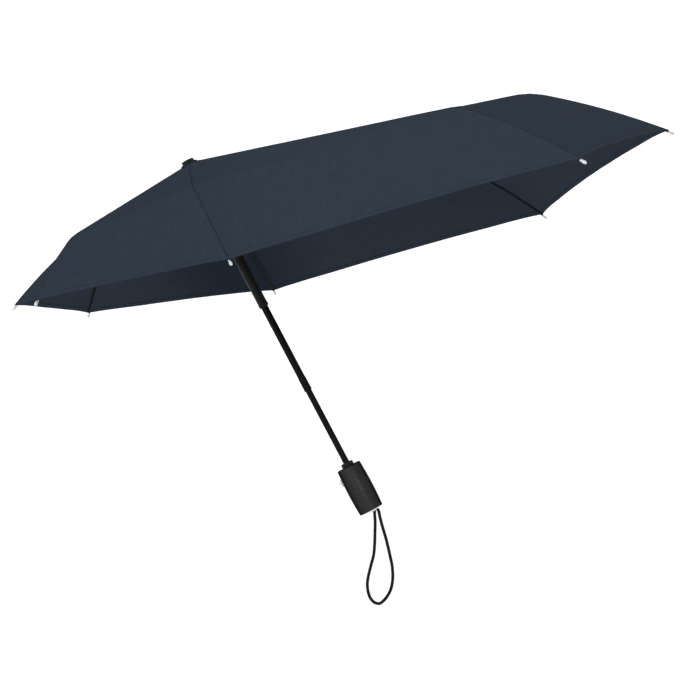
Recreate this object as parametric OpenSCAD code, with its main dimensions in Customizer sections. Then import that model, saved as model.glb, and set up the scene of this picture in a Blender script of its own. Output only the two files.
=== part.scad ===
// Compact folding umbrella with a three-section telescopic shaft, eight folding ribs and an
// aerodynamic cover: a short front and a long tail. +Z runs up the shaft, +X points to the tail,
// the wearer faces -X. The origin is the centre of the grip, on the axis of the shaft.

/* [Overall] */
// Height from the base of the handle to the crown, open and extended
total_h = 570; // [560:1:580]
// Height of the grip centre above the base of the handle
grip_h = 36; // [34:0.5:37]
// How far each of the two telescopic joints slides in
collapse = 128; // [110:1:130]
// How far the runner slides down the top tube to fold the canopy
runner_travel = 60; // [56:0.5:61]

/* [Handle] */
// Diameter of the handle at its middle
handle_d = 38.4; // [38:0.2:39]
// How much thinner the handle is at its two ends
handle_taper = 2.4; // [1.6:0.2:2.6]
// Length of the handle
handle_l = 71.5; // [70:0.5:74]
// Height of the guide core's collar above the handle
collar_h = 6; // [4:0.5:7]
// Width of the push button
button_w = 8; // [6:0.5:9]
// Height of the push button
button_h = 12.5; // [10:0.5:13]
// Travel of the push button
button_travel = 2.5; // [2:0.1:2.6]

/* [Shaft] */
// Outer diameter of the top tube
top_d = 11.8; // [11.7:0.1:11.8]
// Outer diameter of the middle tube
middle_d = 10.5; // [10.4:0.1:10.5]
// Outer diameter of the lower tube
lower_d = 9.2; // [9:0.1:9.2]
// Outer diameter of the runner's sleeve
runner_d = 14; // [13.8:0.1:14.1]
// Depth of the runner's lower end below the crown, canopy open
runner_end = 239; // [230:1:240]

/* [Canopy outline: radius and depth below the crown] */
// Knee of the front rib
front_knee = [226.5, 34]; // [20:0.5:260]
// Tip of the front rib
front_tip = [321.5, 67.5]; // [50:0.5:340]
// Knee of the two front side ribs
front_side_knee = [253.5, 40]; // [30:0.5:260]
// Tip of the two front side ribs
front_side_tip = [359.5, 104]; // [90:0.5:370]
// Knee of the left and right ribs
side_knee = [342.5, 76.5]; // [70:0.5:350]
// Tip of the left and right ribs
side_tip = [447.5, 196]; // [180:0.5:470]
// Knee of the two rear side ribs
rear_side_knee = [508, 149.5]; // [140:0.5:520]
// Tip of the two rear side ribs
rear_side_tip = [648, 292]; // [280:0.5:670]
// Knee of the tail rib
rear_knee = [483, 144]; // [130:0.5:500]
// Tip of the tail rib
rear_tip = [637, 289.5]; // [280:0.5:650]
// How far the hem curves in between two ribs, as a share of the rib, from the front to the tail
hem = [0.01, 0.012, 0.014, 0.02]; // [0:0.002:0.03]
// How far the outer ribs bow outwards, from the front to the tail
bow = [2, 2, 0.8, 5.2, 5.2]; // [0.4:0.1:6]
// Thickness of the cover, measured along the shaft
cloth_t = 1; // [0.9:0.1:1]

/* [Ribs] */
// Width of a rib
rib_w = 2.8; // [2.6:0.1:2.8]
// Height of a rib
rib_h = 3; // [2.8:0.1:3]
// Diameter of the tip beads
bead_d = 4.2; // [4:0.1:4.4]

/* [Wrist loop] */
// Diameter of the loop's cord
cord_d = 4.6; // [4.2:0.1:4.6]

/* [Hidden] */
PLACES = ["rear", "rear_right", "right", "front_right", "front", "front_left", "left", "rear_left"];
GORES = ["tail_right", "side_rear_right", "side_front_right", "nose_right",
         "nose_left", "side_front_left", "side_rear_left", "tail_left"];

$fn = 48;
base_z = -grip_h;                // base of the handle
crown_z = total_h - grip_h;      // crown, from which depths are measured

// one profile per pair of mirrored ribs, from the front to the tail
KNEES = [front_knee, front_side_knee, side_knee, rear_side_knee, rear_knee];
TIPS = [front_tip, front_side_tip, side_tip, rear_side_tip, rear_tip];
FIRST = [95, 110, 153, 229, 224];      // first joint, along the rib from the crown ring
SECOND = [186, 216, 302, 452, 442];    // second joint
BEND_R = [110, 80, 58, 112, 112];      // bend radius of the outer rib
RIB_PROFILE = [4, 3, 2, 1, 0, 1, 2, 3];
GORE_PROFILE = [3, 2, 1, 0, 0, 1, 2, 3];
AZIMUTH = [0, 45.2, 89.1, 136.1, 180, 223.9, 270.9, 314.8];   // of the ribs

root_r = 13;           // radius of the crown ring, on which the ribs turn
root_depth = 11.5;     // its depth below the crown
run_r = 9.4;           // radius of the runner ring, on which the stretchers turn
run_depth = 112;       // its depth, canopy open
wire_r = 0.5;          // radius of both ring wires
eye_hole = 0.62;       // radius of the eyes on them
rise = 1.9;            // offset of a joint's pin from the rib's centre line
ear_r = 2;             // radius of a joint's ears
ear_in = 0.75;         // inner face of the ears
tongue_w = 1.3;        // thickness of a tongue between two ears
rod_r = rib_h / 2 - 0.15;   // radius of an outer rib's round rod
gap_mid = 5.5;         // cover to rib centre line, over the straight part
gap_tip = 3.2;         // the same at the tip

cap_h = 5.4;           // depth of the crown cap's underside
top_end = 215;         // depth of the top tube's lower end
middle_top = top_end - 22;             // upper end of the middle tube, inside the top tube
collar_top = top_end + collapse + 12;  // the collar stays clear of the top tube when pushed in
collar_l = 19;                         // length of the collar, whose foot closes the middle tube
lower_top = collar_top + 6;            // upper end of the lower tube, inside the middle tube

bore_r = 7.7;          // bore of the guide core
core_r = 9.2;          // outer radius of the guide core
cavity_r = 15.4;       // inner radius of the handle shell
button_z = 53.3;       // height of the button's centre above the base
slide_gap = 0.05;      // radial clearance of the telescopic fits
swivel = [6.5, 0.8];   // loop swivel's axis: x, height above the base
swivel_r = 4.2;

// the loop's centre line, hung as it falls when the umbrella leans
LOOP = [
    [4, 0, -38], [1, -1, -44], [-3, -1, -53], [-9, -1, -64], [-18, -1, -80], [-27, -1, -94],
    [-36, 0, -104], [-45, 1, -114], [-53, 1, -124], [-58, 1, -134], [-60.5, 1, -145],
    [-59, 1, -154], [-53, 0, -160], [-45, -1, -159], [-36, -1, -155], [-27, -1, -148],
    [-18.2, -1, -136], [-11.3, 0, -121], [-7.5, 0, -108], [-4.2, 0, -96], [-0.3, 1, -80],
    [2.9, 1, -64], [6.2, 1, -50], [8.3, 0, -43], [8.5, 0, -38]];

// ---------- geometry of the ribs, as [radius, depth] in a radial plane ----------
function dir(a) = [cos(a), sin(a)];
function up(a) = [sin(a), -cos(a)];
function slope(p, q) = atan2(q[1] - p[1], q[0] - p[0]);
root = [root_r, root_depth];
cover_root = [root_r, 6];

function cover_slope(k) = slope(cover_root, KNEES[k]);
function cover_fall(k) = slope(KNEES[k], TIPS[k]);
function rib_knee(k) = let (a = cover_slope(k), b = cover_fall(k))
    KNEES[k] - gap_mid / cos((b - a) / 2) * up((a + b) / 2);
function rib_tip(k) = TIPS[k] - gap_tip * up(cover_fall(k));
function rib_slope(k) = slope(root, rib_knee(k));
function rib_fall(k) = slope(rib_knee(k), rib_tip(k));
// the outer rod leaves its bend less steeply than its chord, and arrives at the tip more steeply
function leave(k) = rib_fall(k) - atan(4 * bow[k] / norm(rib_tip(k) - rib_knee(k)));
function along(k, s) = root + s * dir(rib_slope(k));
function knee_at(k) = norm(rib_knee(k) - root);

// the runner's pivot, open and folded, below the crown ring
open_d = run_depth - root_depth;
shut_d = open_d + runner_travel;
inset = root_r - run_r;
// where the stretcher meets the inner rib, so that both end positions close
function reach(k) = (shut_d * shut_d - open_d * open_d)
    / (2 * (shut_d - open_d * sin(rib_slope(k)) + inset * cos(rib_slope(k))));
function strut_end(k) = along(k, reach(k));
function strut_l(k) = norm(strut_end(k) - [run_r, run_depth]);
function strut_angle(k) = slope([run_r, run_depth], strut_end(k));

// ---------- helpers ----------
module tube(r_out, r_in, z0, z1) {
    translate([0, 0, z0]) difference() {
        cylinder(r = r_out, h = z1 - z0);
        translate([0, 0, -1]) cylinder(r = r_in, h = z1 - z0 + 2);
    }
}

// a round body with rounded lower and upper edges
module barrel(r, z0, z1, f0, f1) {
    f = max(f0, f1);
    rotate_extrude($fn = 96) {
        translate([0, z0]) square([r - f, z1 - z0]);
        translate([0, z0 + f0]) square([r, z1 - z0 - f0 - f1]);
        intersection() {
            translate([0, z0]) square([r, z1 - z0]);
            union() {
                translate([r - f0, z0 + f0]) circle(f0, $fn = 32);
                translate([r - f1, z1 - f1]) circle(f1, $fn = 32);
            }
        }
        if (f0 < f) translate([0, z0]) square([r - f0, f]);
        if (f1 < f) translate([0, z1 - f]) square([r - f1, f]);
    }
}

// a round bar across the rib's plane, centred on the plane
module cross(r, w) {
    rotate([90, 0, 0]) cylinder(r = r, h = w, center = true);
}

module block(x0, x1, y0, y1, z0, z1) {
    translate([x0, y0, z0]) cube([x1 - x0, y1 - y0, z1 - z0]);
}

// puts a part drawn along +x, with +z up, on rib i at point p and a downward slope
module on_rib(i, p, a) {
    rotate([0, 0, AZIMUTH[i]]) translate([p[0], 0, crown_z - p[1]]) rotate([0, a, 0]) children();
}

// ears of a joint: pin at [x, z], web back to the bar
module ears(x, z) {
    difference() {
        union() {
            translate([x, 0, z]) cross(ear_r, rib_w);
            block(x - 6, x, -rib_w / 2, rib_w / 2, min(-rib_h / 2, z), max(rib_h / 2, z));
        }
        block(x - 2.4, x + 5, -ear_in, ear_in, -6, 6);
    }
    translate([x, 0, z]) cross(0.6, rib_w);
}

// tongue of a joint: eye round the pin at [0, z], drawn towards +x
module tongue(z, x1) {
    difference() {
        union() {
            translate([0, 0, z]) cross(ear_r - 0.1, tongue_w);
            block(0, x1, -tongue_w / 2, tongue_w / 2, min(-rib_h / 2, z), max(rib_h / 2, z));
        }
        translate([0, 0, z]) cross(0.6 + slide_gap, 5);
    }
}

// a channel bar, open below
module channel(x0, x1) {
    difference() {
        block(x0, x1, -rib_w / 2, rib_w / 2, -rib_h / 2, rib_h / 2);
        block(x0 + 4, x1 - 4, -rib_w / 2 + 0.6, rib_w / 2 - 0.6, -rib_h / 2 - 1, rib_h / 2 - 0.7);
    }
}

// ---------- handle ----------
function grip_r(z) = handle_d / 2 - handle_taper / 2 * pow(2 * z / handle_l - 1, 2);
module handle_shell() {
    last = handle_l - 1.6;
    outline = concat([[0, 0], [grip_r(0) - 1, 0], [grip_r(0) - 0.3, 0.3], [grip_r(1), 1]],
        [for (z = [5:5:65]) [grip_r(z), z]],
        [[grip_r(last), last], [grip_r(last) - 0.4, last + 0.9], [grip_r(last) - 1.6, handle_l],
         [0, handle_l]]);
    color([0.17, 0.17, 0.18]) translate([0, 0, base_z]) difference() {
        rotate_extrude($fn = 96) polygon(outline);
        translate([0, 0, -1]) cylinder(r = cavity_r, h = handle_l - 3.5);
        translate([0, 0, -1]) cylinder(r = core_r, h = handle_l + 5);
        block(-handle_d, -8, -button_w / 2 - 0.3, button_w / 2 + 0.3,
              button_z - button_h / 2 - 0.3, button_z + button_h / 2 + 0.3);
    }
}

module guide_core() {
    color([0.07, 0.07, 0.07]) translate([0, 0, base_z]) {
        tube(core_r, bore_r, 8, handle_l + collar_h - 1.2);
        tube(core_r - 0.6, bore_r, handle_l + collar_h - 1.2, handle_l + collar_h);
        tube(cavity_r - 0.1, core_r, 8, 10);
        tube(cavity_r - 0.1, core_r, handle_l - 6.5, handle_l - 4.5);
    }
}

module base_cap() {
    dome = 3.6;
    dome_r = (cavity_r * cavity_r + dome * dome) / (2 * dome);
    color([0.86, 0.87, 0.88]) translate([0, 0, base_z]) difference() {
        union() {
            translate([0, 0, 0.6]) cylinder(r = cavity_r, h = 4.4, $fn = 96);
            translate([0, 0, 1]) cylinder(r = bore_r, h = 7);
            intersection() {
                translate([0, 0, 0.6 + dome_r - dome]) sphere(r = dome_r, $fn = 96);
                translate([0, 0, -dome]) cylinder(r = cavity_r, h = dome + 0.7, $fn = 96);
            }
        }
        translate([0, 0, 5.2]) cylinder(r = lower_d / 2, h = 10);
        // slot of the loop swivel
        translate([swivel[0], 0, swivel[1]]) {
            cross(swivel_r + 0.5, 6);
            rotate([90, 0, 0]) linear_extrude(6, center = true)
                polygon([[-4.4, 2], [-9.9, -6], [10.8, -6], [4.7, 1.5]]);
        }
    }
}

module loop_pin() {
    color([0.6, 0.6, 0.62]) translate([swivel[0], 0, base_z + swivel[1]]) cross(0.8, 6);
}

module loop_swivel() {
    color([0.07, 0.07, 0.07]) translate([swivel[0], 0, base_z + swivel[1]]) difference() {
        cross(swivel_r, 5.2);
        cross(0.8 + slide_gap, 6);
    }
}

module push_button() {
    half_h = button_h / 2;
    color([0.72, 0.73, 0.74]) translate([0, 0, base_z + button_z]) {
        intersection() {
            block(-handle_d / 2 - 2.6, -cavity_r - 0.4, -button_w / 2, button_w / 2, -half_h, half_h);
            rotate([90, 0, 0]) translate([10.2 - handle_d / 2, 0, 0])
                cylinder(r = 12.5, h = button_w, center = true);
        }
        block(-cavity_r - 0.4, -cavity_r + 0.6, -button_w / 2, button_w / 2, -half_h, half_h);
        // stem to the latch
        block(-cavity_r + 0.6, -12.2, -2, 2, -half_h, -half_h + 3);
    }
}

module latch_ring() {
    color([0.35, 0.35, 0.37]) translate([0, 0, base_z + button_z - button_h / 2 - 1.6])
        difference() {
            union() {
                cylinder(r = 11.2, h = 1.6);
                translate([-2.7, 0, 0]) cylinder(r = 11.2, h = 1.6);
                block(-2.7, 0, -11.2, 11.2, 0, 1.6);
            }
            translate([0, 0, -1]) cylinder(r = core_r + 0.3, h = 4);
            translate([-2.7, 0, -1]) cylinder(r = core_r + 0.3, h = 4);
            block(-2.7, 0, -core_r - 0.3, core_r + 0.3, -1, 3);
        }
}

// turns of round wire as one closed tube, coiled round +z from z0 to z1
module coil(r, wire, z0, z1, turns, seg, sides) {
    n = turns * seg;
    pts = [for (i = [0:n], j = [0:sides - 1])
        let (a = 360 * i / seg, b = 360 * j / sides, rr = r + wire * cos(b))
        [rr * cos(a), rr * sin(a), z0 + (z1 - z0) * i / n + wire * sin(b)]];
    faces = concat(
        [[for (j = [0:sides - 1]) j]],
        [for (i = [0:n - 1], j = [0:sides - 1]) let (m = (j + 1) % sides)
            [i * sides + j, (i + 1) * sides + j, (i + 1) * sides + m, i * sides + m]],
        [[for (j = [sides - 1:-1:0]) n * sides + j]]);
    polyhedron(pts, faces, convexity = 8);
}

module button_spring() {
    color([0.6, 0.6, 0.62]) translate([-core_r - 0.5, 0, base_z + button_z + 1.5])
        rotate([0, -90, 0]) coil(1.7, 0.3, 0, cavity_r - core_r - 1.5, 5, 10, 5);
}

// ---------- shaft ----------
module lower_tube() {
    color([0.07, 0.07, 0.07])
        tube(lower_d / 2, lower_d / 2 - 0.6, base_z + 5.2, crown_z - lower_top);
}

module main_spring() {
    color([0.6, 0.6, 0.62]) coil(2.1, 0.4, base_z + 6, crown_z - 14, 56, 7, 4);
}

module middle_tube() {
    color([0.07, 0.07, 0.07])
        tube(middle_d / 2, lower_d / 2 + slide_gap, crown_z - collar_top - collar_l,
             crown_z - middle_top);
}

module middle_collar() {
    color([0.12, 0.12, 0.12]) translate([0, 0, crown_z - collar_top - collar_l]) {
        tube(middle_d / 2 + 0.4, middle_d / 2, 0, collar_l);
        // a fine ring near each end, and the foot
        tube(middle_d / 2 + 0.6, middle_d / 2, collar_l - 1.4, collar_l - 0.4);
        tube(middle_d / 2 + 0.6, middle_d / 2, 0.6, 1.6);
        tube(middle_d / 2 + 0.4, lower_d / 2 + slide_gap, -1.4, 0);
    }
}

module top_tube() {
    color([0.07, 0.07, 0.07]) tube(top_d / 2, middle_d / 2 + slide_gap, crown_z - top_end,
                                        crown_z - cap_h);
}

// a hub with eight slots, in which eyes turn on a ring of wire
module slotted_hub(r, z0, z1, slot_r, slot_w) {
    difference() {
        translate([0, 0, z0]) cylinder(r = r, h = z1 - z0);
        for (a = AZIMUTH) rotate([0, 0, a])
            block(slot_r, r + 5, -slot_w / 2, slot_w / 2, z0 - 1, z1 + 1);
    }
}

module crown_hub() {
    color([0.07, 0.07, 0.07]) difference() {
        union() {
            slotted_hub(15, crown_z - root_depth - 2.3, crown_z - root_depth + 2.3,
                        root_r - 2.2, 2.2);
            translate([0, 0, crown_z - 18]) cylinder(r = 7.6, h = 9);
            translate([0, 0, crown_z - root_depth + 2.3]) cylinder(r = 9, h = 1.2);
        }
        translate([0, 0, crown_z - 25]) cylinder(r = top_d / 2, h = 30);
        ring_groove(root_r, crown_z - root_depth);
    }
}

// the groove that a ring wire lies in, and the wire itself
module ring_groove(r, z) {
    translate([0, 0, z]) rotate_extrude($fn = 96) translate([r, 0]) circle(wire_r, $fn = 24);
}

module crown_ring() {
    color([0.6, 0.6, 0.62]) ring_groove(root_r, crown_z - root_depth);
}

module crown_cap() {
    color([0.07, 0.07, 0.07]) {
        translate([0, 0, crown_z - cap_h]) barrel(9.4, 0, cap_h + 1, 0.5, 1.2);
        // the brim lies on the cover
        translate([0, 0, crown_z - cap_h]) barrel(12.6, 0, 1.6, 0.2, 0.6);
        translate([0, 0, crown_z - 11]) cylinder(r = middle_d / 2 + slide_gap, h = 8);
    }
}

module runner() {
    color([0.07, 0.07, 0.07]) difference() {
        union() {
            translate([0, 0, crown_z - runner_end])
                barrel(runner_d / 2, 0, runner_end - run_depth + 2, 0.9, 0.3);
            // lip at the lower end and bead above it
            translate([0, 0, crown_z - runner_end + 1.2]) barrel(runner_d / 2 + 0.35, 0, 5, 0.7, 0.7);
            slotted_hub(11, crown_z - run_depth - 2, crown_z - run_depth + 2, run_r - 1.9, 2);
            translate([0, 0, crown_z - run_depth - 5]) cylinder(r1 = runner_d / 2, r2 = 7.4, h = 3);
        }
        translate([0, 0, crown_z - runner_end - 5])
            cylinder(r = top_d / 2 + 0.1, h = runner_end);
        ring_groove(run_r, crown_z - run_depth);
    }
}

module runner_ring() {
    color([0.6, 0.6, 0.62]) ring_groove(run_r, crown_z - run_depth);
}

// ---------- ribs ----------
module inner_rib(i) {
    k = RIB_PROFILE[i];
    s1 = FIRST[k];
    color([0.08, 0.08, 0.09]) on_rib(i, root, rib_slope(k)) {
        difference() {
            union() {
                cross(1.8, 1.6);
                block(0, 4.2, -0.8, 0.8, -1.3, 1.3);
            }
            cross(eye_hole, 4);
        }
        channel(3.9, s1 - 5.5);
        ears(s1, rise);
    }
}

module middle_rib(i) {
    k = RIB_PROFILE[i];
    l = SECOND[k] - FIRST[k];
    color([0.08, 0.08, 0.09]) on_rib(i, along(k, FIRST[k]), rib_slope(k)) {
        tongue(rise, 4.2);
        channel(3.3, l - 5.5);
        ears(l, -rise);
    }
}

// the outer rib: tongue and ferrule, then a round rod with a bend and a long bow, and the bead on
// its tip. Both arcs are a little thinner than the straights, and reach 1 degree into what is beside
module outer_rib(i) {
    k = RIB_PROFILE[i];
    bend = leave(k) - rib_slope(k);
    r = BEND_R[k];
    tangent = r * tan(bend / 2);
    first = knee_at(k) - SECOND[k] - tangent;
    // the bow starts where the bend ends
    start = rib_knee(k) + tangent * dir(leave(k));
    chord = norm(rib_tip(k) - start);
    half = slope(start, rib_tip(k)) - leave(k);
    bow_r = chord / 2 / sin(half);
    extra = 1.5 / bow_r * 180 / PI;
    color([0.1, 0.1, 0.11]) on_rib(i, along(k, SECOND[k]), rib_slope(k)) {
        tongue(-rise, 4.2);
        block(3.3, min(9, first), -rib_w / 2, rib_w / 2, -rib_h / 2, rib_h / 2);
        translate([3.5, 0, 0]) rotate([0, 90, 0]) cylinder(r = rod_r, h = first - 3.5);
        translate([first, 0, -r]) rotate([90, 0, 0]) rotate([0, 0, 89 - bend])
            rotate_extrude(angle = bend + 2, $fn = 96) translate([r, 0]) circle(rod_r - 0.08, $fn = 24);
        translate([first, 0, -r]) rotate([0, bend, 0]) translate([0, 0, r]) {
            translate([-2.5, 0, 0]) rotate([0, 90, 0]) cylinder(r = rod_r, h = 5);
            translate([0, 0, -bow_r]) rotate([90, 0, 0]) rotate([0, 0, 90 - 2 * half - extra])
                rotate_extrude(angle = 2 * half + 2 * extra, $fn = 480) translate([bow_r, 0])
                    circle(rod_r - 0.08, $fn = 24);
            translate([0, 0, -bow_r]) rotate([0, 2 * half, 0]) translate([0, 0, bow_r])
                rotate([0, 90, 0]) {
                    translate([0, 0, -4.5]) cylinder(r = bead_d / 2 - 0.6, h = 4);
                    translate([0, 0, 1.2]) sphere(r = bead_d / 2);
                }
        }
    }
}

module stretcher(i) {
    k = RIB_PROFILE[i];
    l = strut_l(k);
    color([0.08, 0.08, 0.09]) on_rib(i, [run_r, run_depth], strut_angle(k)) {
        difference() {
            union() {
                cross(1.6, 1.6);
                block(0, 6, -0.8, 0.8, -1.2, 1.2);
            }
            cross(eye_hole, 4);
        }
        block(4.6, 9, -2.6, 2.6, -1.25, 1.25);
        for (s = [-1, 1]) translate([0, s * 2.2, 0]) {
            block(8, l, -0.4, 0.4, -1.4, 1.4);
            translate([l, 0, 0]) cross(1.9, 0.8);
            translate([l, s * 0.6, 0]) cross(1.1, 0.4);
        }
    }
}

// ---------- cover ----------
// share of the rib at which each row of points lies; the knee is rounded between k0 and k1
knee_v = 0.68;
k0 = 0.655;
k1 = 0.71;
ROWS = [0, 0.02, 0.3, 0.5, 0.655, 0.683, 0.71, 0.78, 0.85, 0.92, 1];
ACROSS = 4;
function mix(p, q, t) = p + (q - p) * t;
function straight(k, v) = v < knee_v ? mix(cover_root, KNEES[k], v / knee_v)
    : mix(KNEES[k], TIPS[k], (v - knee_v) / (1 - knee_v));
function bowed(k, v) = let (t = max(v - knee_v, 0) / (1 - knee_v))
    4 * t * (1 - t) * bow[k] * up(cover_fall(k));
function rounded(k, v) = let (t = (v - k0) / (k1 - k0), p = straight(k, k0), q = straight(k, k1))
    mix(mix(p, KNEES[k], t), mix(KNEES[k], q, t), t);
function cover_2d(k, v) = v == 0 ? [7, 5.9]
    : bowed(k, v) + (v > k0 && v < k1 ? rounded(k, v) : straight(k, v));
function on_cover(i, v) = let (p = cover_2d(RIB_PROFILE[i % 8], v))
    [p[0] * cos(AZIMUTH[i % 8]), p[0] * sin(AZIMUTH[i % 8]), crown_z - p[1]];
// hem: the last row curves in between the ribs, and stops short of the beads at them
function hem_v(g, u, v) = v > 0.5
    ? v * (1 - hem[GORE_PROFILE[g]] * pow(4 * u * (1 - u), 0.7) - 0.006) : v;
function cover_point(g, u, v) = mix(on_cover(g, hem_v(g, u, v)), on_cover(g + 1, hem_v(g, u, v)), u);

module gore(g) {
    n = len(ROWS);
    w = ACROSS + 1;
    top = [for (v = ROWS, a = [0:ACROSS]) cover_point(g, a / ACROSS, v)];
    pts = concat(top, [for (p = top) p - [0, 0, cloth_t]]);
    m = n * w;
    quads = [for (i = [0:n - 2], a = [0:ACROSS - 1]) [i * w + a, i * w + a + 1, (i + 1) * w + a + 1,
        (i + 1) * w + a]];
    tops = [for (q = quads) each [[q[0], q[1], q[2]], [q[0], q[2], q[3]]]];
    rim = concat([for (a = [0:ACROSS - 1]) a], [for (i = [0:n - 2]) i * w + ACROSS],
        [for (a = [ACROSS:-1:1]) (n - 1) * w + a], [for (i = [n - 1:-1:1]) i * w]);
    color([0.2, 0.23, 0.28]) polyhedron(pts, concat(tops,
        [for (t = tops) [t[2] + m, t[1] + m, t[0] + m]],
        [for (j = [0:len(rim) - 1]) let (a = rim[j], b = rim[(j + 1) % len(rim)])
            each [[b, a, a + m], [b, a + m, b + m]]]), convexity = 6);
}

// ---------- wrist loop ----------
// a smooth curve through the points, two rings to a step
function curve(p, i, t) = let (n = len(p) - 1, a = p[max(i - 1, 0)], b = p[i], c = p[min(i + 1, n)],
    d = p[min(i + 2, n)])
    0.5 * (2 * b + (c - a) * t + (2 * a - 5 * b + 4 * c - d) * t * t
        + (3 * b - a - 3 * c + d) * t * t * t);

module wrist_loop() {
    sides = 10;
    line = concat([for (i = [0:len(LOOP) - 2], t = [0, 0.5]) curve(LOOP, i, t)],
        [LOOP[len(LOOP) - 1]]);
    n = len(line);
    pts = [for (i = [0:n - 1]) let (
            t = line[min(i + 1, n - 1)] - line[max(i - 1, 0)],
            f = t / norm(t),
            s = [0, 1, 0] - f[1] * f,
            a = s / norm(s),
            b = cross_of(f, a))
        for (j = [0:sides - 1])
            line[i] + cord_d / 2 * (cos(360 * j / sides) * a + sin(360 * j / sides) * b)];
    color([0.05, 0.05, 0.05]) polyhedron(pts, concat(
        [[for (j = [sides - 1:-1:0]) j]],
        [for (i = [0:n - 2], j = [0:sides - 1]) let (m = (j + 1) % sides)
            [i * sides + j, i * sides + m, (i + 1) * sides + m, (i + 1) * sides + j]],
        [[for (j = [0:sides - 1]) (n - 1) * sides + j]]), convexity = 6);
}
function cross_of(a, b) = [a[1] * b[2] - a[2] * b[1], a[2] * b[0] - a[0] * b[2],
    a[0] * b[1] - a[1] * b[0]];

// ---------- assembly ----------
handle_shell();
guide_core();
base_cap();
push_button();
button_spring();
latch_ring();
lower_tube();
main_spring();
loop_pin();
loop_swivel();
wrist_loop();
middle_tube();
middle_collar();
top_tube();
crown_hub();
crown_ring();
crown_cap();
runner();
runner_ring();
for (i = [0:7]) {
    inner_rib(i);
    middle_rib(i);
    outer_rib(i);
    stretcher(i);
    gore(i);
}
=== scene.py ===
"""Looks of a compact folding umbrella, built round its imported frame.

Lengths are in metres. +Z runs up the shaft, +X points to the long tail, and the origin is the
centre of the grip. The cover is sewn from eight gores. Each gore is made here as two halves, and
each half as an inner, a middle and an outer panel, so that every panel rides on one rib bar.
"""

import math

import bpy
import numpy as np
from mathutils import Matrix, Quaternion, Vector


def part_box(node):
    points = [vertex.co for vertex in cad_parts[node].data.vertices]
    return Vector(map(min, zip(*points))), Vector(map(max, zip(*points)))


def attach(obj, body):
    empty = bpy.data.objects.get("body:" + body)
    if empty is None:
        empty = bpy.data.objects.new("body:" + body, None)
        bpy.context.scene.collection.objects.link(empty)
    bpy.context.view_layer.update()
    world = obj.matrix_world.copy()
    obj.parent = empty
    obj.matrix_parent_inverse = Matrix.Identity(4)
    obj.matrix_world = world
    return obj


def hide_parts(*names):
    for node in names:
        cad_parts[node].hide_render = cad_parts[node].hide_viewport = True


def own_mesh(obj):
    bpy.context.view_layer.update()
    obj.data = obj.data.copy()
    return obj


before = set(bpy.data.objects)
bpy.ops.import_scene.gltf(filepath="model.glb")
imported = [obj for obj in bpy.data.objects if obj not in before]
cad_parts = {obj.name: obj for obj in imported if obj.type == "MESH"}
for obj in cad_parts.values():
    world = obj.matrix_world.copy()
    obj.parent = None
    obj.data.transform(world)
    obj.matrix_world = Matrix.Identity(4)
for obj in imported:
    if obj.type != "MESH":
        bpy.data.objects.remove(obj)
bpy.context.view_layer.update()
MM = 0.001

# ================================================================ camera
CAMERA_PLACE = (0.1424, -3.3716, 0.0809)
CAMERA_AZIMUTH = 1.056      # degrees, 0 looks along +Y
CAMERA_ELEVATION = -1.721   # degrees, so that the umbrella is seen slightly from below
CAMERA_ROLL = 27.84         # degrees, which makes the shaft lean
CAMERA_LENS = 120.34        # mm, on a sensor 36 mm wide


def make_camera():
    azimuth, elevation = math.radians(CAMERA_AZIMUTH), math.radians(CAMERA_ELEVATION)
    back = Vector((
        math.sin(azimuth) * math.cos(elevation),
        -math.cos(azimuth) * math.cos(elevation),
        math.sin(elevation),
    ))
    data = bpy.data.cameras.new("camera")
    data.sensor_width = 36
    data.lens = CAMERA_LENS
    data.clip_start = 0.1
    data.clip_end = 80
    camera = bpy.data.objects.new("camera", data)
    bpy.context.scene.collection.objects.link(camera)
    camera.location = CAMERA_PLACE
    camera.rotation_mode = "QUATERNION"
    roll = Quaternion((0, 0, 1), -math.radians(CAMERA_ROLL))
    camera.rotation_quaternion = (-back).to_track_quat("-Z", "Y") @ roll
    bpy.context.scene.camera = camera


make_camera()


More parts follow.
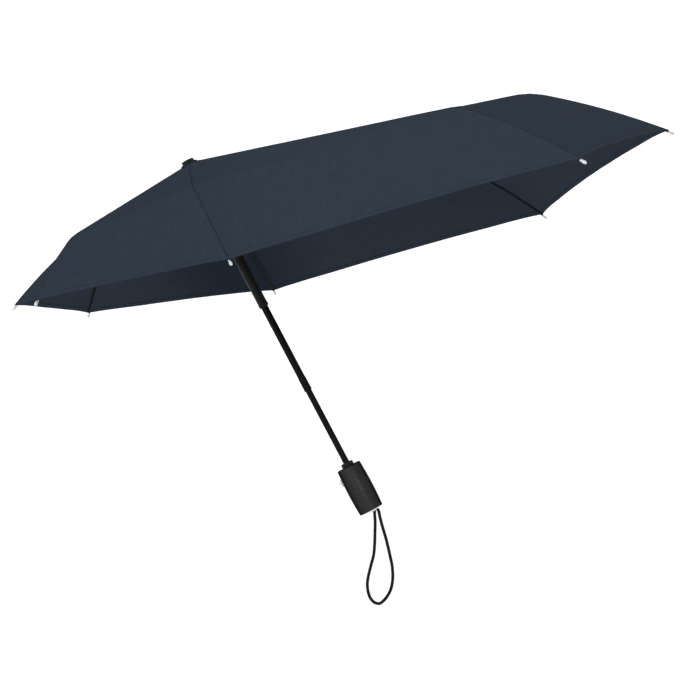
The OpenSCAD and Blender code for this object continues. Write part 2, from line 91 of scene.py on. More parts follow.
# ================================================================ node graphs
class Graph:
    """One material's node tree, with short calls for the nodes that repeat."""

    def __init__(self, name, roughness=0.5, metallic=0.0, **inputs):
        self.material = bpy.data.materials.new(name)
        self.material.use_nodes = True
        self.tree = self.material.node_tree
        self.shader = self.tree.nodes["Principled BSDF"]
        self.shader.inputs["Roughness"].default_value = roughness
        self.shader.inputs["Metallic"].default_value = metallic
        for socket, value in inputs.items():
            self.shader.inputs[socket.replace("_", " ")].default_value = value

    def node(self, kind, **settings):
        made = self.tree.nodes.new(kind)
        for key, value in settings.items():
            setattr(made, key, value)
        return made

    def feed(self, socket, value):
        if isinstance(value, tuple):
            socket.default_value = (*value, 1)
        elif isinstance(value, (int, float)):
            socket.default_value = value
        else:
            self.tree.links.new(value, socket)

    def place(self):
        """Object coordinates: metres in the row frame."""
        return self.node("ShaderNodeTexCoord").outputs["Object"]

    def attribute(self, name):
        return self.node("ShaderNodeAttribute", attribute_name=name)

    def scaled(self, source, scale):
        made = self.node("ShaderNodeMapping")
        made.inputs["Scale"].default_value = scale
        self.feed(made.inputs["Vector"], source)
        return made.outputs["Vector"]

    def split(self, source):
        made = self.node("ShaderNodeSeparateXYZ")
        self.feed(made.inputs[0], source)
        return made.outputs

    def noise(self, source, scale, detail=3.0, rough=0.5):
        made = self.node("ShaderNodeTexNoise")
        made.inputs["Scale"].default_value = scale
        made.inputs["Detail"].default_value = detail
        made.inputs["Roughness"].default_value = rough
        self.feed(made.inputs["Vector"], source)
        return made.outputs["Fac"]

    def cells(self, source, scale):
        made = self.node("ShaderNodeTexVoronoi")
        made.inputs["Scale"].default_value = scale
        self.feed(made.inputs["Vector"], source)
        return made.outputs["Distance"]

    def math(self, operation, *values):
        made = self.node("ShaderNodeMath", operation=operation)
        for socket, value in zip(made.inputs, values):
            self.feed(socket, value)
        return made.outputs[0]

    def smooth(self, source, low, high, to_low=0.0, to_high=1.0):
        made = self.node("ShaderNodeMapRange", interpolation_type="SMOOTHSTEP")
        for socket, value in zip(made.inputs, (source, low, high, to_low, to_high)):
            self.feed(socket, value)
        return made.outputs["Result"]

    def mix(self, factor, a, b, blend="MIX"):
        made = self.node("ShaderNodeMix", data_type="RGBA", blend_type=blend)
        for i, value in ((0, factor), (6, a), (7, b)):
            self.feed(made.inputs[i], value)
        return made.outputs[2]

    def bump(self, height, distance, under=None):
        made = self.node("ShaderNodeBump")
        made.inputs["Distance"].default_value = distance
        self.feed(made.inputs["Height"], height)
        if under is not None:
            self.feed(made.inputs["Normal"], under)
        return made.outputs["Normal"]

    def finish(self, colour=None, roughness=None, normal=None):
        for name, value in (("Base Color", colour), ("Roughness", roughness), ("Normal", normal)):
            if value is not None:
                self.feed(self.shader.inputs[name], value)
        return self.material


# ================================================================ materials
WEAVE_PITCH = 0.5 * MM
STITCH_FROM_HEM = 6.4 * MM
STITCH_HALF_WIDTH = 0.3 * MM
STITCH_PITCH = 3 * MM


def cloth_material():
    """Water-repellent pongee: a plain weave with slubs, darker at seams, stitched along the hem.

    The attribute "cloth" holds metres: across from the rib seam, along the rib, up from the hem.
    """
    g = Graph("cover_cloth", Specular_IOR_Level=0.0)
    cloth = g.attribute("cloth").outputs["Vector"]
    across, along, from_hem = g.split(cloth)
    # the cut edges at the seams keep the outer colour
    past_seam = g.smooth(across, 1 * MM, 3 * MM)
    inside = g.math("MULTIPLY", g.attribute("inside").outputs["Fac"], past_seam)
    thread = 2 * math.pi / WEAVE_PITCH
    weave = g.math(
        "MULTIPLY",
        g.math("SINE", g.math("MULTIPLY", across, thread)),
        g.math("SINE", g.math("MULTIPLY", along, thread)),
    )
    slub_along = g.noise(g.scaled(cloth, (900, 26, 1)), 1, 2)
    slub_across = g.noise(g.scaled(cloth, (26, 900, 1)), 1, 2)
    slub = g.math("ADD", slub_along, slub_across)
    broad = g.noise(g.place(), 7, 3)
    outer = g.mix(broad, (0.0240, 0.0315, 0.0440), (0.0262, 0.0343, 0.0478))
    # painted shade: the outer colour is darker on the front gores, towards -X, standing in for less
    # light falling there
    x = g.split(g.place())[0]
    outer = g.mix(g.smooth(x, -0.04, 0.14, 0.3, 0.0), outer, (0.0150, 0.0200, 0.0290))
    inner = g.mix(broad, (0.0232, 0.0305, 0.0425), (0.0250, 0.0328, 0.0458))
    # painted shade: the inside is darker round the shaft, where less light gets in
    from_shaft = g.math("ABSOLUTE", g.math("ADD", x, 0.03))
    # depth: how strongly the painted shade darkens the inside
    depth = g.smooth(from_shaft, 0.02, 0.16, 0.4, 0.0)
    inner = g.mix(depth, inner, (0.004, 0.007, 0.014))
    colour = g.mix(inside, outer, inner)
    slubs = g.smooth(slub, 0.6, 1.4, 0.86, 1.12)
    seam = g.smooth(across, 0.3 * MM, 2.2 * MM, 0.72, 1.0)
    off_row = g.math("ABSOLUTE", g.math("SUBTRACT", from_hem, STITCH_FROM_HEM))
    in_row = g.math("LESS_THAN", off_row, STITCH_HALF_WIDTH)
    in_stitch = g.math("LESS_THAN", g.math("FRACT", g.math("DIVIDE", across, STITCH_PITCH)), 0.7)
    stitch = g.math("MULTIPLY", in_row, in_stitch)
    shade = g.math("MULTIPLY", slubs, seam)
    grey = g.node("ShaderNodeCombineColor")
    for socket in grey.inputs:
        g.feed(socket, shade)
    colour = g.mix(1.0, colour, grey.outputs[0], "MULTIPLY")
    colour = g.mix(g.math("MULTIPLY", stitch, 0.8), colour, (0.012, 0.016, 0.024))
    roughness = g.smooth(slub, 0.6, 1.4, 0.66, 0.54)
    relief = g.bump(weave, 0.03 * MM)
    relief = g.bump(slub, 0.05 * MM, relief)
    relief = g.bump(stitch, 0.2 * MM, relief)
    return g.finish(colour, roughness, relief)


def speckled(name, low, high, scale, roughness, grain, depth, **inputs):
    """A moulded or coated surface: two close colours in soft patches, and a fine grain."""
    g = Graph(name, **inputs)
    place = g.place()
    patches = g.noise(place, scale, 4)
    texture = g.noise(place, grain, 3, 0.6)
    rough = g.smooth(patches, 0.3, 0.7, roughness - 0.06, roughness + 0.06)
    return g.finish(g.mix(patches, low, high), rough, g.bump(texture, depth))


def grip_material():
    """Soft-touch rubber lacquer with a fine leather-like grain, a little polished by hands."""
    g = Graph("grip_soft_touch", metallic=0.9, Specular_IOR_Level=0.05,
              Specular_Tint=(0.02, 0.02, 0.02, 1))
    place = g.place()
    cells = g.cells(place, 1100)
    fine = g.noise(place, 4200, 2)
    worn = g.noise(place, 45, 4, 0.6)
    colour = g.mix(g.smooth(cells, 0.1, 0.6), (0.010, 0.010, 0.010), (0.028, 0.028, 0.028))
    roughness = g.smooth(worn, 0.35, 0.7, 0.40, 0.30)
    relief = g.bump(cells, 0.09 * MM)
    return g.finish(colour, roughness, g.bump(fine, 0.03 * MM, relief))


def tube_material():
    """Black baked enamel on steel tube, with fine lines drawn along the shaft."""
    g = Graph("shaft_enamel", Specular_IOR_Level=0.06)
    place = g.place()
    drawn = g.noise(g.scaled(place, (2600, 2600, 12)), 1, 2)
    patches = g.noise(place, 30, 3)
    colour = g.mix(patches, (0.0016, 0.0016, 0.0016), (0.0030, 0.0030, 0.0029))
    return g.finish(colour, g.smooth(drawn, 0.3, 0.7, 0.30, 0.42), g.bump(drawn, 0.015 * MM))


def steel_material(name, colour, roughness):
    """Drawn wire with faint scratches."""
    g = Graph(name, metallic=1.0)
    place = g.place()
    drawn = g.noise(g.scaled(place, (900, 900, 3500)), 1, 2)
    tint = tuple(c * 0.8 for c in colour)
    rough = g.smooth(drawn, 0.3, 0.7, roughness, roughness + 0.12)
    return g.finish(g.mix(drawn, tint, colour), rough, g.bump(drawn, 0.01 * MM))


def cord_material():
    """Braided polyester, with a painted highlight: the top of every strand is painted lighter, as if
    light caught it.
    """
    g = Graph("cord_braid", roughness=0.62, Specular_IOR_Level=0.06)
    strand = g.attribute("strand").outputs["Fac"]
    fibres = g.noise(g.place(), 5200, 2)
    # painted highlight: the colour is lighter on the tops of the strands
    colour = g.mix(strand, (0.002, 0.0022, 0.0025), (0.009, 0.0095, 0.0105))
    return g.finish(colour, g.smooth(fibres, 0.3, 0.7, 0.55, 0.72), g.bump(fibres, 0.05 * MM))


def floor_material():
    g = Graph("pale_floor", roughness=0.9)
    patches = g.noise(g.place(), 1.5, 2)
    return g.finish(g.mix(patches, (0.87, 0.87, 0.87), (0.89, 0.89, 0.89)))


CLOTH = cloth_material()
GRIP = grip_material()
TUBE = tube_material()
BLACK = speckled("moulded_black", (0.0045, 0.0045, 0.0045), (0.0085, 0.0085, 0.0085), 60, 0.42, 2600,
                 0.03 * MM, Specular_IOR_Level=0.12)
RIB = speckled("rib_enamel", (0.0035, 0.0035, 0.004), (0.007, 0.007, 0.008), 80, 0.36, 1800,
               0.02 * MM, Specular_IOR_Level=0.12)
FIBRE = speckled("glass_fibre", (0.005, 0.005, 0.006), (0.010, 0.010, 0.011), 40, 0.48, 3200,
                 0.03 * MM, Specular_IOR_Level=0.12)
BUTTON = speckled("button_grey", (0.36, 0.37, 0.38), (0.42, 0.43, 0.44), 90, 0.4, 2400, 0.02 * MM)
PEARL = speckled("pearl_silver", (0.42, 0.43, 0.45), (0.56, 0.57, 0.58), 70, 0.3, 1500, 0.01 * MM,
                 Metallic=0.5, Coat_Weight=0.3, Coat_Roughness=0.2)
SILVER = speckled("cap_silver_white", (0.72, 0.73, 0.75), (0.80, 0.81, 0.83), 70, 0.35, 1500, 0.01 * MM)
STEEL = steel_material("spring_wire", (0.55, 0.55, 0.57), 0.26)
CORD = cord_material()

NODE_MATERIALS = {
    "handle_shell": GRIP, "guide_core": BLACK, "base_cap": SILVER, "push_button": BUTTON,
    "latch_ring": BLACK, "lower_tube": TUBE, "loop_pin": STEEL, "loop_swivel": BLACK,
    "middle_tube": TUBE, "middle_collar": TUBE, "top_tube": TUBE, "crown_hub": BLACK,
    "crown_ring": STEEL, "crown_cap": BLACK, "runner": BLACK, "runner_ring": STEEL,
    "inner_rib": RIB, "middle_rib": RIB, "outer_rib": FIBRE, "stretcher": RIB,
}


def paint_frame():
    for name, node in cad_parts.items():
        for start, material in NODE_MATERIALS.items():
            if name.startswith(start):
                node.data.materials.clear()
                node.data.materials.append(material)


# ================================================================ mesh helpers
def make_mesh(name, points, faces, material, normals=None, attributes=None):
    """A mesh object. normals are one for each point of each face, attributes one for each point."""
    mesh = bpy.data.meshes.new(name)
    mesh.from_pydata([tuple(p) for p in points], [], [tuple(f) for f in faces])
    mesh.materials.append(material)
    for key, values in (attributes or {}).items():
        values = np.asarray(values, np.float32)
        flat = values.ndim == 1
        made = mesh.attributes.new(key, "FLOAT" if flat else "FLOAT_VECTOR", "POINT")
        made.data.foreach_set("value" if flat else "vector", values.ravel())
    mesh.shade_smooth()
    if normals is not None:
        mesh.normals_split_custom_set([tuple(n) for n in normals])
    made = bpy.data.objects.new(name, mesh)
    bpy.context.scene.collection.objects.link(made)
    return made


def grid_faces(rows, columns, start=0, closed=False, flip=False):
    """Quads between the points of a grid that is stored row by row.

    A flipped quad starts at the same corner, so that it splits along the same diagonal.
    """
    faces = []
    for i in range(rows - 1):
        for j in range(columns if closed else columns - 1):
            k = (j + 1) % columns
            quad = (i * columns + j, i * columns + k, (i + 1) * columns + k, (i + 1) * columns + j)
            if flip:
                quad = quad[:1] + quad[:0:-1]
            faces.append(tuple(start + q for q in quad))
    return faces


LATHE_SIDES = 28


def lathe(name, outline, material, origin, direction):
    """Turns an outline of (radius, height) about an axis that runs from origin along direction."""
    turn = Vector((0, 0, 1)).rotation_difference(Vector(direction).normalized())
    points = []
    for radius, height in outline:
        for j in range(LATHE_SIDES):
            a = 2 * math.pi * j / LATHE_SIDES
            offset = Vector((radius * math.cos(a), radius * math.sin(a), height))
            points.append(Vector(origin) + turn @ offset)
    faces = grid_faces(len(outline), LATHE_SIDES, closed=True)
    faces.append(tuple(range(LATHE_SIDES))[::-1])
    faces.append(tuple((len(outline) - 1) * LATHE_SIDES + j for j in range(LATHE_SIDES)))
    return make_mesh(name, points, faces, material)


def curve_through(points, steps):
    """A smooth curve through the points, as the cord's solid has it."""
    p = np.array(points, float)
    line = []
    for i in range(len(p) - 1):
        a, b, c, d = p[max(i - 1, 0)], p[i], p[i + 1], p[min(i + 2, len(p) - 1)]
        for t in np.arange(steps) / steps:
            line.append(0.5 * (2 * b + (c - a) * t + (2 * a - 5 * b + 4 * c - d) * t * t
                               + (3 * b - a - 3 * c + d) * t ** 3))
    line.append(p[-1])
    return np.array(line)


def swept(name, line, section, material):
    """A tube along line. section(i) gives the (side, up) offsets of ring i."""
    tangent = np.gradient(line, axis=0)
    tangent /= np.linalg.norm(tangent, axis=1)[:, None]
    side = np.array([0.0, 1.0, 0.0]) if abs(tangent[0][1]) < 0.9 else np.array([1.0, 0.0, 0.0])
    points = []
    for i, (centre, t) in enumerate(zip(line, tangent)):
        side = side - (side @ t) * t
        side /= np.linalg.norm(side)
        up = np.cross(t, side)
        offsets = section(i)
        points.append(centre + offsets[:, :1] * side + offsets[:, 1:] * up)
    sides = len(points[0])
    faces = grid_faces(len(line), sides, closed=True)
    faces.append(tuple(range(sides))[::-1])
    faces.append(tuple((len(line) - 1) * sides + j for j in range(sides)))
    return make_mesh(name, np.concatenate(points), faces, material)


# ================================================================ wrist loop
CORD_D = 4.6 * MM
# the cord's route in mm, with the same points as the cord's solid
LOOP = [
    (4, 0, -38), (1, -1, -44), (-3, -1, -53), (-9, -1, -64), (-18, -1, -80), (-27, -1, -94),
    (-36, 0, -104), (-45, 1, -114), (-53, 1, -124), (-58, 1, -134), (-60.5, 1, -145),
    (-59, 1, -154), (-53, 0, -160), (-45, -1, -159), (-36, -1, -155), (-27, -1, -148),
    (-18.2, -1, -136), (-11.3, 0, -121), (-7.5, 0, -108), (-4.2, 0, -96), (-0.3, 1, -80),
    (2.9, 1, -64), (6.2, 1, -50), (8.3, 0, -43), (8.5, 0, -38)]
BRAID_PITCH = 7 * MM    # length in which a strand goes once round the cord
STRANDS = 8
CORD_SIDES = 40
CORD_STEPS = 26         # rings from one point of the route to the next


def make_loop():
    line = curve_through(LOOP, CORD_STEPS) * MM
    step = np.linalg.norm(np.diff(line, axis=0), axis=1)
    along = np.concatenate([[0], np.cumsum(step)])
    angle = 2 * np.pi * np.arange(CORD_SIDES) / CORD_SIDES
    strands = []

    def section(i):
        turn = 2 * math.pi * along[i] / BRAID_PITCH
        left = np.cos(STRANDS / 2 * (angle + turn))
        right = np.cos(STRANDS / 2 * (angle - turn))
        height = np.maximum(left, right)
        strands.append(height)
        radius = CORD_D / 2 - 0.16 * MM * (1 - height)
        return np.stack([radius * np.cos(angle), radius * np.sin(angle)], axis=1)

    loop = swept("wrist_cord", line, section, CORD)
    # strand holds the height of the braid, which the cord's material uses for a painted highlight
    strand = loop.data.attributes.new("strand", "FLOAT", "POINT")
    strand.data.foreach_set("value", np.clip(np.concatenate(strands), 0, 1).astype(np.float32))
    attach(loop, "wrist_strap")
    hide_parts("wrist_loop")


make_loop()

# ================================================================ cover
PLACES = ("rear", "rear_right", "right", "front_right", "front", "front_left", "left", "rear_left")
GORES = ("tail_right", "side_rear_right", "side_front_right", "nose_right",
         "nose_left", "side_front_left", "side_rear_left", "tail_left")
# the cover over each pair of mirrored ribs, from the front to the tail: radius and depth below the
# crown at the knee and at the tip, then where the rib's two joints lie, along the rib from its root
KNEES = np.array([(226.5, 34), (253.5, 40), (342.5, 76.5), (508, 149.5), (483, 144)]) * MM
TIPS = np.array([(321.5, 67.5), (359.5, 104), (447.5, 196), (648, 292), (637, 289.5)]) * MM
JOINTS = np.array([(95, 186), (110, 216), (153, 302), (229, 452), (224, 442)]) * MM
BOW = np.array((2, 2, 0.8, 5.2, 5.2)) * MM    # how far the outer ribs bow outwards
PROFILE = (4, 3, 2, 1, 0, 1, 2, 3)
AZIMUTH = (0, 45.2, 89.1, 136.1, 180, 223.9, 270.9, 314.8)
HEM_CURVE = (0.02, 0.014, 0.012, 0.01, 0.01, 0.012, 0.014, 0.02)
COVER_ROOT = np.array((13, 6)) * MM
RIB_ROOT = np.array((13, 11.5)) * MM
CROWN_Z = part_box("crown_cap")[1].z - 1 * MM
KNEE_SHARE = 0.68                    # share of the way from the crown to the tip
BEND_FROM, BEND_TO = 0.655, 0.71     # shares between which the knee is rounded
CLOTH_T = 0.35 * MM
HEM_W = 8 * MM
HEM_T = 0.9 * MM
HEM_STEP = 1.07     # hem widths up to the row at which the cloth is single again


def blend(a, b, t):
    return a + (b - a) * t


def profile(k, share):
    """Radius and depth of the cover over a rib, for shares 0 at the crown to 1 at the tip."""
    def straight(v):
        upper = blend(COVER_ROOT, KNEES[k], v / KNEE_SHARE)
        lower = blend(KNEES[k], TIPS[k], (v - KNEE_SHARE) / (1 - KNEE_SHARE))
        return np.where(v < KNEE_SHARE, upper, lower)

    v = np.asarray(share)[..., None]
    t = np.clip((v - BEND_FROM) / (BEND_TO - BEND_FROM), 0, 1)
    first, last = straight(np.array([BEND_FROM])), straight(np.array([BEND_TO]))
    rounded = blend(blend(first, KNEES[k], t), blend(KNEES[k], last, t), t)
    fall = (TIPS[k] - KNEES[k]) / np.linalg.norm(TIPS[k] - KNEES[k])
    out = np.array((fall[1], -fall[0]))
    w = np.clip((v - KNEE_SHARE) / (1 - KNEE_SHARE), 0, 1)
    return np.where((t > 0) & (t < 1), rounded, straight(v)) + 4 * w * (1 - w) * BOW[k] * out


def over_rib(place, share):
    """The same as points in the row frame, for rib number place."""
    p = profile(PROFILE[place % 8], share)
    a = math.radians(AZIMUTH[place % 8])
    return np.stack([p[..., 0] * math.cos(a), p[..., 0] * math.sin(a), CROWN_Z - p[..., 1]], axis=-1)


def cover_points(gore, u, share):
    """Points of one gore: u goes from its first rib to the next. The hem curves in between them."""
    near_hem = np.clip((share - 0.5) / 0.5, 0, 1) ** 2
    share = share - near_hem * (HEM_CURVE[gore] * (4 * u * (1 - u)) ** 0.7 + 0.006)
    return blend(over_rib(gore, share), over_rib(gore + 1, share), u[..., None])


def joint_shares(place):
    """Shares of the cover at which the rib's two joints lie."""
    k = PROFILE[place % 8]
    knee = np.linalg.norm(KNEES[k] - RIB_ROOT)
    return JOINTS[k] / knee * KNEE_SHARE


def fold_ratio(gore, side):
    """How far a row that crosses the gore square to its rib gets, as a share of the middle line.

    side 0 is the gore's first rib and side 1 the next one.
    """
    root = over_rib(gore + side, np.array(0.0))
    rib = over_rib(gore + side, np.array(0.3))
    middle = cover_points(gore, np.array(0.5), np.array(0.3))
    along = (rib - root) / np.linalg.norm(rib - root)
    return float((middle - root) @ along / np.linalg.norm(rib - root))


ROWS_ALONG = 46
COLUMNS = 13            # from a rib to the gore's middle line
ROW_CLEARANCE = 0.004   # how far other rows keep from the marked ones
SAME_ROW = 2e-6


def gore_rows(gore):
    """Shares of the rows on the first rib, the middle line and the next rib, the joints, the hem."""
    knots = []
    for side in (0, 1):
        joints = joint_shares(gore + side)
        knots.append((joints, joints / fold_ratio(gore, side)))
    drop = np.linalg.norm(TIPS[PROFILE[gore]] - KNEES[PROFILE[gore]])
    hem = HEM_W / drop * (1 - KNEE_SHARE)
    marks = [m for _, mids in knots for m in mids]
    marks += [1 - hem, 1 - HEM_STEP * hem, 1 - hem / 3, 1 - hem * 2 / 3]

    def stays(row):
        gap = min(abs(row - mark) for mark in marks)
        return row in (0, 1) or gap > ROW_CLEARANCE or gap < SAME_ROW

    middle = np.unique(np.round(np.concatenate([np.linspace(0, 1, ROWS_ALONG) ** 0.9, marks]), 6))
    middle = np.array([row for row in middle if stays(row)])
    rib = [np.interp(middle, [0, *mids, 1], [0, *joints, 1]) for joints, mids in knots]
    for side in (0, 1):
        # the hem band has the same width everywhere
        band = middle > 1 - (HEM_STEP + 0.01) * hem
        rib[side][band] = middle[band]
    return rib[0], middle, rib[1], knots, hem


def smooth_noise(points, wave, seed):
    """Soft repeatable waves from a few sines in fixed directions."""
    rng = np.random.RandomState(seed)
    total = np.zeros(points.shape[:-1])
    for _ in range(7):
        way = rng.normal(size=3)
        way /= np.linalg.norm(way)
        total += np.sin(points @ way * 2 * np.pi / (wave * rng.uniform(0.7, 1.4)) + rng.uniform(0, 6.28))
    return total / 7


def relief(points, across, along, from_hem, half_width):
    """Height of the cloth over its smooth shape: the seam's groove, puckers and soft waves."""
    groove = -0.4 * MM * np.exp(-((across / (1.8 * MM)) ** 2))
    fade = np.clip(half_width / (30 * MM), 0, 1)
    pucker = 0.10 * MM * np.exp(-across / (9 * MM)) * np.sin(2 * np.pi * along / (9 * MM)) * fade
    hem_pucker = 0.14 * MM * np.exp(-from_hem / (10 * MM)) * np.sin(2 * np.pi * across / (8 * MM)) * fade
    inner = np.clip(across / (40 * MM), 0, 1)
    waves = 1.1 * MM * smooth_noise(points, 0.17, 4) * inner
    ripples = 0.22 * MM * smooth_noise(points, 0.045, 9) * inner
    slack = -2.2 * MM * np.clip(across / (90 * MM), 0, 1) ** 2
    return groove + pucker + hem_pucker + waves + ripples + slack


def gore_grid(gore):
    """Positions, normals and cloth coordinates of a whole gore, then its joints, rows and hem."""
    first, middle, last, knots, hem = gore_rows(gore)
    halves = []
    for side, rib in ((0, first), (1, last)):
        rib_points = cover_points(gore, np.full(len(rib), float(side)), rib)
        mid_points = cover_points(gore, np.full(len(rib), 0.5), middle)
        half = np.linalg.norm(mid_points - rib_points, axis=1)
        seam = np.minimum(1.2 * MM, 0.1 * half)
        edge = np.minimum(3.0 * MM, 0.25 * half)
        spread = np.linspace(0, 1, COLUMNS - 2) ** 1.15
        across = np.column_stack([np.zeros(len(half)), seam, *[blend(edge, half, s) for s in spread]])
        share_in = across / half[:, None]
        u = share_in / 2 if side == 0 else 1 - share_in / 2
        shares = blend(rib[:, None], middle[:, None], share_in)
        points = cover_points(gore, u, shares)
        step = np.linalg.norm(np.diff(points, axis=0), axis=2)
        along = np.vstack([np.zeros(points.shape[1]), np.cumsum(step, axis=0)])
        from_hem = along[-1] - along
        halves.append((points, across, along, from_hem, np.repeat(half[:, None], across.shape[1], 1)))
    merged = [np.hstack([a, b[:, -2::-1]]) for a, b in zip(halves[0], halves[1])]
    points, across, along, from_hem, half = merged
    bare = surface_normals(points)
    points = points + bare * relief(points, across, along, from_hem, half)[..., None]
    cloth = np.stack([across, along, from_hem], axis=-1)
    return points, surface_normals(points), cloth, knots, middle, hem


def surface_normals(points):
    down = np.gradient(points, axis=0)
    over = np.gradient(points, axis=1)
    normal = np.cross(down, over)
    return normal / np.linalg.norm(normal, axis=2)[..., None]


def panel(name, points, normals, cloth, thickness):
    """A closed thin panel from a grid of its outer face."""
    rows, columns = points.shape[:2]
    under = points - normals * thickness[..., None]
    count = rows * columns
    top = grid_faces(rows, columns, flip=True)
    faces = top + grid_faces(rows, columns, start=count)
    n = normals.reshape(-1, 3)
    loops = [n[q] for f in top for q in f] + [-n[q - count] for f in faces[len(top):] for q in f]
    rim = list(range(columns)) + [i * columns + columns - 1 for i in range(1, rows)]
    rim += [(rows - 1) * columns + j for j in range(columns - 2, -1, -1)]
    rim += [i * columns for i in range(rows - 2, 0, -1)]
    flat = points.reshape(-1, 3)
    for a, b in zip(rim, rim[1:] + rim[:1]):
        faces.append((a, b, b + count, a + count))
        edge = np.cross(flat[b] - flat[a], -n[a])
        edge /= max(np.linalg.norm(edge), 1e-12)
        loops += [edge] * 4
    both = np.concatenate([points.reshape(-1, 3), under.reshape(-1, 3)])
    coordinates = np.concatenate([cloth.reshape(-1, 3)] * 2)
    inside = np.repeat([0.0, 1.0], count)
    return make_mesh(name, both, faces, CLOTH, loops, {"cloth": coordinates, "inside": inside})


def fold_with_rib(piece, rib_line, mid_line):
    """Works out the way across a panel from its rib to its middle line, and gives the panel its own copy
    of its mesh; it doesn't flatten the panel.
    """
    way = rib_line[-1] - rib_line[0]
    way /= np.linalg.norm(way)
    out = mid_line - rib_line
    reach = out - (out @ way)[:, None] * way
    axis = reach.mean(axis=0)
    axis /= np.linalg.norm(axis)
    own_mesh(piece)


def make_cover():
    """Every gore as six closed panels, each on its own rib bar."""
    for gore, gore_name in enumerate(GORES):
        points, normals, cloth, knots, middle, hem = gore_grid(gore)
        rows, columns = points.shape[:2]
        centre = columns // 2
        thickness = np.full((rows, columns), CLOTH_T)
        thickness[middle > 1 - (1 + HEM_STEP) / 2 * hem] = HEM_T
        for side in (0, 1):
            place = PLACES[(gore + side) % 8]
            cuts = [0] + [int(np.argmin(abs(middle - m))) for m in knots[side][1]] + [rows - 1]
            span = slice(0, centre + 1) if side == 0 else slice(centre, columns)
            rib_column = 0 if side == 0 else columns - 1
            for section, a, b in zip(("inner", "middle", "outer"), cuts, cuts[1:]):
                block = (slice(a, b + 1), span)
                name = f"cover_{gore_name}_{'first' if side == 0 else 'second'}_{section}"
                piece = panel(name, points[block], normals[block], cloth[block], thickness[block])
                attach(piece, f"{section}_{place}")
                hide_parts(f"gore_{gore_name}")
                fold_with_rib(piece, points[a:b + 1, rib_column], points[a:b + 1, centre])


PATCH_RINGS = 9
PATCH_WIDTH = 4 * MM
PATCH_T = 0.3 * MM
PATCH_RAISE = 0.35 * MM    # height of the patch's outer face over the cover
PATCH_STEPS = 6            # columns from one rib to the next


def make_crown_patch():
    """The round patch under the cap, which covers the gathered points of the gores."""
    corners = []
    for gore in range(8):
        for u in np.arange(PATCH_STEPS) / PATCH_STEPS:
            column = []
            for ring in range(PATCH_RINGS):
                reach = ring / (PATCH_RINGS - 1) * PATCH_WIDTH
                shares = []
                for side in (0, 1):
                    k = PROFILE[(gore + side) % 8]
                    shares.append(reach / np.linalg.norm(KNEES[k] - COVER_ROOT) * KNEE_SHARE)
                a, b = over_rib(gore, np.array(shares[0])), over_rib(gore + 1, np.array(shares[1]))
                column.append(blend(a, b, u) + np.array([0, 0, PATCH_RAISE]))
            flat = column[0] * np.array([0.5, 0.5, 1])
            corners.append([flat] + column)
    points = np.array(corners).transpose(1, 0, 2)
    rows, columns = points.shape[:2]
    wave = 0.12 * MM * np.sin(np.arange(columns) * 2 * np.pi / PATCH_STEPS)
    points[-3:, :, 2] += wave * np.array([0.3, 0.7, 1.0])[:, None]
    under = points - np.array([0, 0, PATCH_T])
    count = rows * columns
    faces = [f[::-1] for f in grid_faces(rows, columns, closed=True, flip=True)]
    faces += grid_faces(rows, columns, start=count, closed=True, flip=True)
    for j in range(columns):
        k = (j + 1) % columns
        faces.append((k, j, j + count, k + count))
        last = (rows - 1) * columns
        faces.append((last + j, last + k, last + k + count, last + j + count))
    both = np.concatenate([points.reshape(-1, 3), under.reshape(-1, 3)])
    radius = np.linalg.norm(both[:, :2], axis=1)
    turn = np.arctan2(both[:, 1], both[:, 0]) * 0.015
    cloth = np.stack([turn + 1.0, radius, np.full(len(both), 1.0)], axis=1)
    attributes = {"cloth": cloth, "inside": np.zeros(len(both))}
    patch = make_mesh("crown_patch", both, faces, CLOTH, attributes=attributes)
    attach(patch, "canopy_head")


make_cover()
make_crown_patch()

# ================================================================ rib tips
BEAD_D = 4.5 * MM
BEAD_L = 8.0 * MM
RIB_GAP_AT_TIP = 3.2 * MM


def rib_tip(place):
    """The end of a rib's rod and the way it points."""
    k = PROFILE[place]
    fall = TIPS[k] - KNEES[k]
    length = np.linalg.norm(fall)
    fall /= length
    out = np.array([fall[1], -fall[0]])
    tip = TIPS[k] - RIB_GAP_AT_TIP * out
    end = fall - 4 * BOW[k] / length * out    # the bowed rod arrives more steeply
    a = math.radians(AZIMUTH[place])
    point = Vector((tip[0] * math.cos(a), tip[0] * math.sin(a), CROWN_Z - tip[1]))
    way = Vector((end[0] * math.cos(a), end[0] * math.sin(a), -end[1]))
    return point, way


def make_tips():
    """A pearly oval bead with a short neck on the end of each rib."""
    neck = [(1.5, -5.2), (1.75, -5.1), (1.8, -3.2), (1.6, -3.0)]
    outline = [(radius * MM, height * MM) for radius, height in neck]
    for i in range(17):
        a = math.pi * i / 16
        radius, height = math.sin(a) ** 0.8 * BEAD_D / 2, -math.cos(a) * BEAD_L / 2
        if height < -2.6 * MM and radius < 1.6 * MM:
            continue
        outline.append((max(radius, 0.05 * MM), height + 0.9 * MM))
    for place, name in enumerate(PLACES):
        point, way = rib_tip(place)
        bead = lathe(f"tip_{name}", outline, PEARL, point, way)
        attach(bead, f"outer_{name}")


make_tips()


# ================================================================ springs
COIL_STEPS = 20     # rings in one turn
WIRE_SIDES = 8


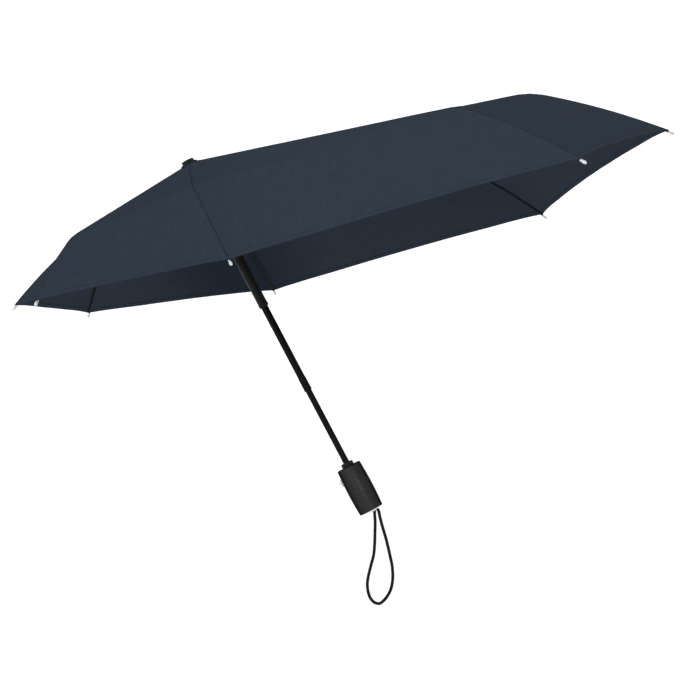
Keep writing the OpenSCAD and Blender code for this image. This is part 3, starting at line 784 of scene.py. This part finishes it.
def make_coil(name, radius, wire, start, end, turns, body):
    """A round coil from start to end, both points on its axis."""
    start, end = Vector(start), Vector(end)
    turn = Vector((0, 0, 1)).rotation_difference((end - start).normalized())
    steps = turns * COIL_STEPS
    line = []
    for i in range(steps + 1):
        a = 2 * math.pi * i / COIL_STEPS
        rise = (end - start).length * i / steps
        line.append(start + turn @ Vector((radius * math.cos(a), radius * math.sin(a), rise)))
    angle = 2 * np.pi * np.arange(WIRE_SIDES) / WIRE_SIDES
    ring = np.stack([wire * np.cos(angle), wire * np.sin(angle)], axis=1)
    coil = swept(name, np.array([tuple(p) for p in line]), lambda i: ring, STEEL)
    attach(coil, body)
    return coil


def make_springs():
    low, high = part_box("main_spring")
    wire = 0.4 * MM
    main = make_coil("main_spring_coil", 2.1 * MM, wire, (0, 0, low.z + wire),
                     (0, 0, high.z - wire), 56, "handle")
    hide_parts("main_spring")
    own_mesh(main)
    low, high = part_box("button_spring")
    middle = (low + high) / 2
    wire = 0.3 * MM
    small = make_coil("button_spring_coil", 1.7 * MM, wire, (high.x - wire, middle.y, middle.z),
                      (low.x + wire, middle.y, middle.z), 6, "handle")
    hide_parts("button_spring")
    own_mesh(small)


make_springs()
paint_frame()

# ================================================================ light and floor
FLOOR_Z = -1.3   # the umbrella is held in the hand, so its grip is well above the floor


def put_light(data, place, target):
    light = bpy.data.objects.new(data.name, data)
    bpy.context.scene.collection.objects.link(light)
    light.location = place
    light.rotation_mode = "QUATERNION"
    light.rotation_quaternion = (Vector(target) - Vector(place)).to_track_quat("-Z", "Y")


def soft_light(name, place, power):
    data = bpy.data.lights.new(name, "AREA")
    data.shape = "DISK"
    data.size = 3.0
    data.energy = power
    put_light(data, place, (0.1, 0, 0.3))


def make_studio():
    world = bpy.data.worlds.new("studio")
    bpy.context.scene.world = world
    world.use_nodes = True
    background = world.node_tree.nodes["Background"]
    background.inputs["Color"].default_value = (1, 1, 1, 1)
    background.inputs["Strength"].default_value = 1.2
    bpy.ops.mesh.primitive_grid_add(x_subdivisions=4, y_subdivisions=4, size=120,
                                    location=(0, 0, FLOOR_Z))
    floor = bpy.context.object
    floor.name = "floor"
    floor.data.materials.append(floor_material())
    soft_light("key", (-1.5, -3.2, 1.6), 40)
    soft_light("fill", (-2.2, -0.6, 1.9), 8)
    sheen = bpy.data.lights.new("sheen", "SPOT")
    sheen.energy = 80
    sheen.spot_size = math.radians(8)
    sheen.spot_blend = 0.8
    sheen.shadow_soft_size = 0.25
    put_light(sheen, (0.75, -2.85, -0.1), (0, 0, -0.06))
    bpy.context.scene.view_settings.view_transform = "Standard"


make_studio()
